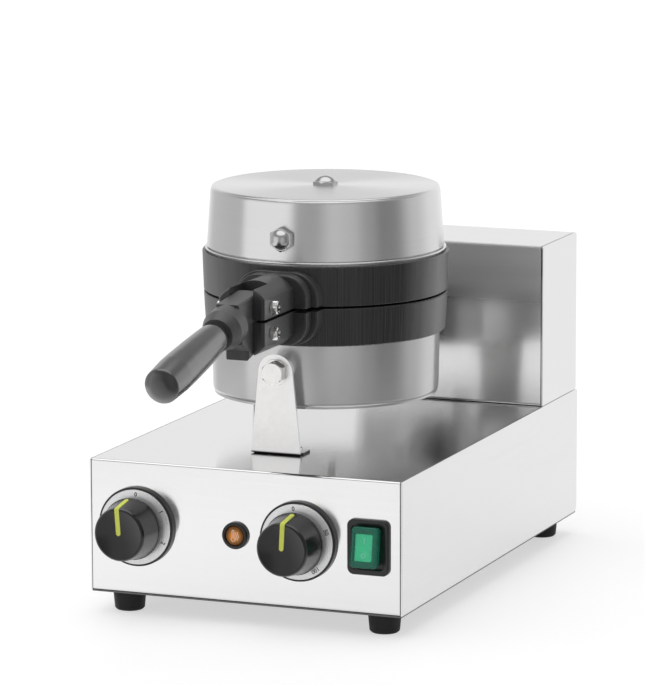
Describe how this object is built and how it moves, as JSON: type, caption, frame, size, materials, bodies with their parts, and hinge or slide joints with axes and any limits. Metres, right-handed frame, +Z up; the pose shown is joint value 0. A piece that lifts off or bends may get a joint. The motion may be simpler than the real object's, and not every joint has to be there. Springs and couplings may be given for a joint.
{
  "type": "countertop hinged burger press",
  "caption": "Round two-plate heated press on a steel cabinet, with a hinged lid, hook latch and grip, timer and thermostat knobs, pilot lamp and rocker switch.",
  "frame": {"origin": "on the standing surface under the feet, in the middle of the width and of the whole depth from grip tip to cable gland", "axes": "+X to the user's right, +Y from the controls to the rear column, +Z up"},
  "size_m": [0.25, 0.5642, 0.3162],
  "materials": {
    "cabinet_steel": "bright brushed stainless sheet",
    "housing_steel": "satin stainless, brushed around",
    "bracket_steel": "matte sheet steel",
    "plate_black": "dark coated casting, satin with turned rims",
    "lever_black": "matte black casting",
    "grip_black": "gloss black",
    "control_black": "satin black",
    "knob_black": "satin black",
    "control_body": "plain housing behind the panel",
    "dial_silver": "satin silver disc with dark marks",
    "pointer_green": "yellow-green",
    "fixings": "bright plated steel",
    "heater_tube": "heat-tinted tube",
    "foot_rubber": "matte black",
    "lens_amber": "amber, clear",
    "rocker_green": "bright green",
    "cap_green": "clear green, soft"
  },
  "bodies": {
    "cabinet": {"base_wrap": "cabinet_steel", "base_side_left": "cabinet_steel", "base_side_right": "cabinet_steel", "bottom_plate": "cabinet_steel", "column_wrap": "cabinet_steel", "column_side_left": "cabinet_steel", "column_side_right": "cabinet_steel", "foot_front_left": "foot_rubber", "foot_front_right": "foot_rubber", "foot_rear_left": "foot_rubber", "foot_rear_right": "foot_rubber", "foot_screws": "fixings", "column_screws": "fixings", "bracket_screws": "fixings", "hinge_bracket_screws": "fixings", "front_bracket": "bracket_steel", "hinge_bracket": "bracket_steel", "bracket_spacer": "bracket_steel", "bracket_bolt": "fixings", "hinge_pin": "fixings", "catch_pin": "fixings", "catch_nut": "fixings", "lower_stud": "fixings", "lower_housing": "housing_steel", "lower_plate": "plate_black", "lower_heater": "heater_tube", "lower_strap": "bracket_steel", "lower_conduit": "fixings", "timer_bezel": "control_black", "thermostat_bezel": "control_black", "timer_dial": "dial_silver", "thermostat_dial": "dial_silver", "timer_body": "control_body", "thermostat_body": "control_body", "pilot_bezel": "control_black", "pilot_lens": "lens_amber", "switch_frame": "control_black", "switch_body": "control_black", "cord_gland": "control_black"},
    "lid": {"upper_plate": "plate_black", "upper_housing": "housing_steel", "upper_heater": "heater_tube", "upper_strap": "bracket_steel", "upper_stud": "fixings", "top_nut": "fixings", "front_nut": "fixings", "pivot_bolt": "fixings", "pivot_nut": "fixings"},
    "handle": {"latch_lever": "lever_black", "handle_grip": "grip_black", "grip_tang": "fixings"},
    "timer": {"timer_knob": "knob_black", "timer_pointer": "pointer_green", "timer_spindle": "fixings"},
    "thermostat": {"thermostat_knob": "knob_black", "thermostat_pointer": "pointer_green", "thermostat_spindle": "fixings"},
    "rocker": {"switch_rocker": "rocker_green", "switch_boot": "cap_green"}
  },
  "joints": [
    {"name": "lid_hinge", "type": "hinge", "parent": "cabinet", "child": "lid", "pos_m": [0, 0.15507, 0.23], "axis": [-1, 0, 0], "range_deg": [0, 95]},
    {"name": "latch_pivot", "type": "hinge", "parent": "lid", "child": "handle", "pos_m": [0, -0.11693, 0.23885], "axis": [-1, 0, 0], "range_deg": [0, 70]},
    {"name": "timer_turn", "type": "hinge", "parent": "cabinet", "child": "timer", "pos_m": [-0.0863, -0.14893, 0.0692], "axis": [0, 1, 0], "range_deg": [0, 300]},
    {"name": "thermostat_turn", "type": "hinge", "parent": "cabinet", "child": "thermostat", "pos_m": [0.0438, -0.14893, 0.0682], "axis": [0, 1, 0], "range_deg": [0, 290]},
    {"name": "switch_tilt", "type": "hinge", "parent": "cabinet", "child": "rocker", "pos_m": [0.0992, -0.12973, 0.068], "axis": [1, 0, 0], "range_deg": [0, 18]}
  ]
}
